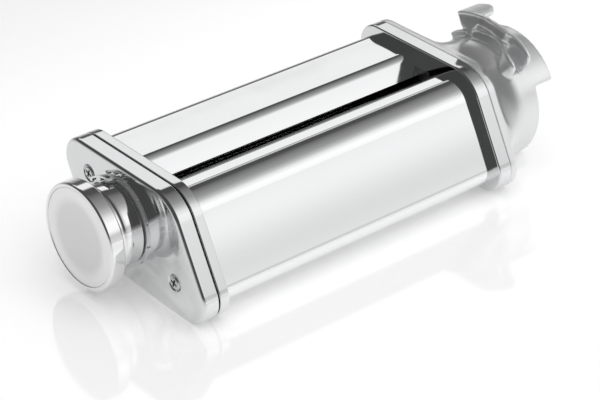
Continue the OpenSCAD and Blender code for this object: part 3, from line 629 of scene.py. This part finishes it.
def turned(name, profile, axis_yz, steps, *rest, **more):
    """A closed profile of [x, radius] turned about a line along X through axis_yz. The profile runs
    so that its solid lies on its right, looking along it with +X ahead and the radius upwards."""
    profile = np.asarray(profile, float)
    q = np.linspace(0, 2 * np.pi, steps, endpoint=False)[:, None]
    x = np.broadcast_to(profile[:, 0], (steps, len(profile)))
    verts = np.stack([x, axis_yz[0] + profile[:, 1] * np.cos(q),
                      axis_yz[1] + profile[:, 1] * np.sin(q)], -1)
    m = len(profile)
    i = np.arange(steps)[:, None]
    j = np.arange(m)
    ahead, beside = (i + 1) % steps, (j + 1) % m
    faces = np.stack([i * m + j, ahead * m + j, ahead * m + beside, i * m + beside], -1)
    faces = faces.reshape(-1, 4)
    return new_piece(name, verts.reshape(-1, 3), faces.tolist(), *rest, **more)


def bow(centre, radius, from_deg, to_deg, steps):
    """An arc in a turned profile; angles count from +X to +radius."""
    q = np.radians(np.linspace(from_deg, to_deg, steps))
    return np.stack([centre[0] + radius * np.cos(q), centre[1] + radius * np.sin(q)], 1)


knob_x, rim_r, collar_r, collar_end = -222.3, 23.2, 18.0, -202.8
# The disc's satin: a fine mottle in its roughness and bump, and a painted highlight, a paler ring
# towards its edge
satin_disc, tree, bsdf = new_material("satin_disc", (0.8, 0.8, 0.805), 0.36, 1.0)
from_axis = tree.nodes.new("ShaderNodeMapping")
from_axis.inputs["Location"].default_value = (0, -knob_axis[0] / 1000, -knob_axis[1] / 1000)
from_axis.inputs["Scale"].default_value = (0, 1, 1)
tree.links.new(object_coords(tree), from_axis.inputs["Vector"])
radius = tree.nodes.new("ShaderNodeVectorMath")
radius.operation = "LENGTH"
tree.links.new(from_axis.outputs[0], radius.inputs[0])
ring_share = math_node(tree, "MULTIPLY", radius.outputs["Value"], 1000 / rim_r, True)
mottle = noise(tree, from_axis.outputs[0], 900, 3, 0.6)
# Painted highlight: the base colour turns paler towards the disc's edge, standing in for the light
# the rim catches
painted_edge_highlight = ramp(tree, ring_share, [(0.0, 0.74), (0.56, 0.75), (0.80, 0.90), (1.0, 0.92)])
tree.links.new(painted_edge_highlight, bsdf.inputs["Base Color"])
tree.links.new(ramp(tree, mottle, [(0.3, 0.33), (0.7, 0.42)]), bsdf.inputs["Roughness"])
bump(tree, mottle, bsdf, 0.15, 0.02)
waist_r, stem_hole, bore_r, recess_r, skirt_r = 3.03, 4.06, 9.0, 21.32, 15.5
recess_x = knob_x + 1.62
knob_profile = np.concatenate([
    [[collar_end - 4.7, stem_hole], [collar_end - 4.7, bore_r], [recess_x, bore_r],
     [recess_x, recess_r], [knob_x + 0.4, recess_r]],
    bow((knob_x + 0.3, 21.62), 0.3, 270, 180, 5),
    bow((knob_x + 1.1, 22.1), 1.1, 180, 90, 14),
    [[knob_x + 1.6, rim_r], [knob_x + 5.7, rim_r]],
    bow((knob_x + 6.2, 22.6), 0.6, 90, 0, 8),
    [[knob_x + 6.8, 20.0]],
    bow((knob_x + 9.8, 17.4 + waist_r), waist_r, 188, 306, 30),
    [[collar_end - 4.6, collar_r - 0.05], [collar_end - 4.3, collar_r],
     [collar_end - 0.5, collar_r]],
    bow((collar_end - 0.35, collar_r - 0.35), 0.35, 90, 0, 6),
    [[collar_end, skirt_r], [collar_end - 3, skirt_r], [collar_end - 3, bore_r],
     [collar_end, bore_r], [collar_end, stem_hole]]])
turned("setting_knob", knob_profile, knob_axis, 192, knob_chrome, "knob_chrome", "knob", ["knob"])

# The disc: flat in the middle, with a shallow rise to its edge
disc_r, disc_back = 21.26, knob_x + 1.6
shoulder = np.linspace(0, 1, 17)[:, None]
disc_profile = np.concatenate([
    [[disc_back, 0.002], [knob_x + 0.62, 0.002], [knob_x + 0.61, 6.0]],
    np.hstack([knob_x + 0.6 - 0.36 * shoulder ** 2 * (3 - 2 * shoulder), 10.5 + 7.5 * shoulder]),
    [[knob_x + 0.23, disc_r - 0.5]],
    bow((knob_x + 0.42, disc_r - 0.2), 0.2, 180, 90, 5),
    [[disc_back, disc_r]]])
turned("knob_disc", disc_profile, knob_axis, 128, satin_disc, "satin_disc", "knob", ["knob_face"])
finish_nodes(satin_cast, "index_ring")
finish_nodes(polished_cast, "index_detent")


# ---- Rollers: hard-chromed steel tubes, ground bright, on pressed-in journals ----
# The drive roller turns in two bronze bushes in the plates; the other one turns in the carriages.
roller_chrome = polished_metal("roller_chrome", (0.82, 0.825, 0.83), 0.07, 0.05, 0.4,
                               (1, 0.1, 0.1), 0.02)
finish_nodes(roller_chrome, "drive_roller", "adjust_roller")


# ---- Works: gears, cams, spindle and sliding blocks, turned or cut from plain steel ----
# They are oiled and only brightened where they rub; the bushes are sintered bronze.
steel = polished_metal("steel", (0.62, 0.625, 0.63), 0.25, 0.1, 1.0, (0.1, 1, 1), 0.05)
bronze = polished_metal("bronze", (0.62, 0.45, 0.22), 0.3, 0.15, 0.8, (0.2, 1, 1), 0.05)
spring_steel = polished_metal("spring_steel", (0.75, 0.75, 0.75), 0.12, 0.08, 0.6,
                              (0.2, 1, 1), 0.03)
slot_finish = dict(
    steel=steel, bronze=bronze, spring_steel=spring_steel, polished_cast=polished_cast,
    satin_cast=satin_cast, polished_sheet=polished_sheet, roller_chrome=roller_chrome,
    knob_chrome=knob_chrome, satin_disc=satin_disc)
for part in frame["record"]["subparts"]:
    worn = nodes[part["node"]].data.materials
    if not worn or worn[0] not in slot_finish.values():
        finish_nodes(slot_finish[part["material_slot"]], part["node"])


# ---- Floor: a white glossy sweep, which keeps a soft shadow and a faint mirror image ----
floor_mesh = bpy.data.meshes.new("floor")
floor_z, floor_half, floor_glow = -0.0290, 6, 0.26
floor_corners = [(-1, -1), (1, -1), (1, 1), (-1, 1)]
floor_mesh.from_pydata([(a * floor_half, b * floor_half, floor_z) for a, b in floor_corners], [],
                       [(0, 1, 2, 3)])
floor = bpy.data.objects.new("floor", floor_mesh)
bpy.context.scene.collection.objects.link(floor)
floor_mat, floor_tree, floor_bsdf = new_material("floor", (0.93, 0.93, 0.93), 0.07, 0.0)
floor_bsdf.inputs["Specular IOR Level"].default_value = 1.0
floor_bsdf.inputs["Emission Color"].default_value = (1, 1, 1, 1)
ray = floor_tree.nodes.new("ShaderNodeLightPath")
seen_by = math_node(floor_tree, "MAXIMUM", ray.outputs["Is Camera Ray"],
                    ray.outputs["Is Glossy Ray"])
seen_by = math_node(floor_tree, "MAXIMUM", seen_by, ray.outputs["Is Transmission Ray"])
glow = math_node(floor_tree, "MULTIPLY", seen_by, floor_glow)
floor_tree.links.new(glow, floor_bsdf.inputs["Emission Strength"])
floor_mesh.materials.append(floor_mat)


# ---- Studio: white all round the horizon, a long white strip behind and above, dark overhead ----
world = bpy.data.worlds.new("studio")
bpy.context.scene.world = world
world.use_nodes = True
wt = world.node_tree
back = wt.nodes["Background"]
back.inputs["Strength"].default_value = 1.0
way = wt.nodes.new("ShaderNodeSeparateXYZ")
wt.links.new(wt.nodes.new("ShaderNodeTexCoord").outputs["Generated"], way.inputs[0])
turn_up = wt.nodes.new("ShaderNodeMath")
turn_up.operation = "ARCTAN2"
wt.links.new(way.outputs["Z"], turn_up.inputs[0])
wt.links.new(way.outputs["Y"], turn_up.inputs[1])
share = math_node(wt, "DIVIDE", turn_up.outputs[0], math.pi)
# Position 0 is the horizon behind the object, 0.5 overhead, 1 the horizon in front of it
right_side = ramp(wt, share, [
    (0.0, 0.5), (0.06, 0.4), (0.09, 0.12), (0.165, 0.12), (0.185, 1.0), (0.272, 1.0),
    (0.298, 0.07), (0.38, 0.09), (0.44, 0.19), (0.59, 0.37), (0.66, 0.60), (0.72, 0.94),
    (0.79, 1.16), (0.875, 1.12), (0.925, 0.66), (1.0, 0.8)], "LINEAR")
left_side = ramp(wt, share, [(0.0, 0.35), (0.05, 0.3), (0.12, 0.07), (0.94, 0.08), (1.0, 0.4)],
                 "LINEAR")
mix = wt.nodes.new("ShaderNodeMix")
mix.data_type = "RGBA"
across = wt.nodes.new("ShaderNodeMapRange")
across.interpolation_type = "SMOOTHSTEP"
across.inputs["From Min"].default_value = -0.25
across.inputs["From Max"].default_value = 0.15
wt.links.new(way.outputs["X"], across.inputs["Value"])
wt.links.new(across.outputs[0], mix.inputs[0])
wt.links.new(left_side, mix.inputs[6])
wt.links.new(right_side, mix.inputs[7])
seen = wt.nodes.new("ShaderNodeMix")
seen.data_type = "RGBA"
wt.links.new(wt.nodes.new("ShaderNodeLightPath").outputs["Is Camera Ray"], seen.inputs[0])
wt.links.new(mix.outputs[2], seen.inputs[6])
seen.inputs[7].default_value = (1, 1, 1, 1)
wt.links.new(seen.outputs[2], back.inputs["Color"])

# Soft top light for the floor and the satin parts; polished metal shows the studio, not the lamp
top = bpy.data.objects.new("top_light", bpy.data.lights.new("top_light", "SUN"))
bpy.context.scene.collection.objects.link(top)
top.data.energy = 1.5
top.data.angle = math.radians(70)
top.rotation_euler = (math.radians(8), math.radians(-4), 0)
top.visible_glossy = False

bpy.context.scene.view_settings.view_transform = "Standard"
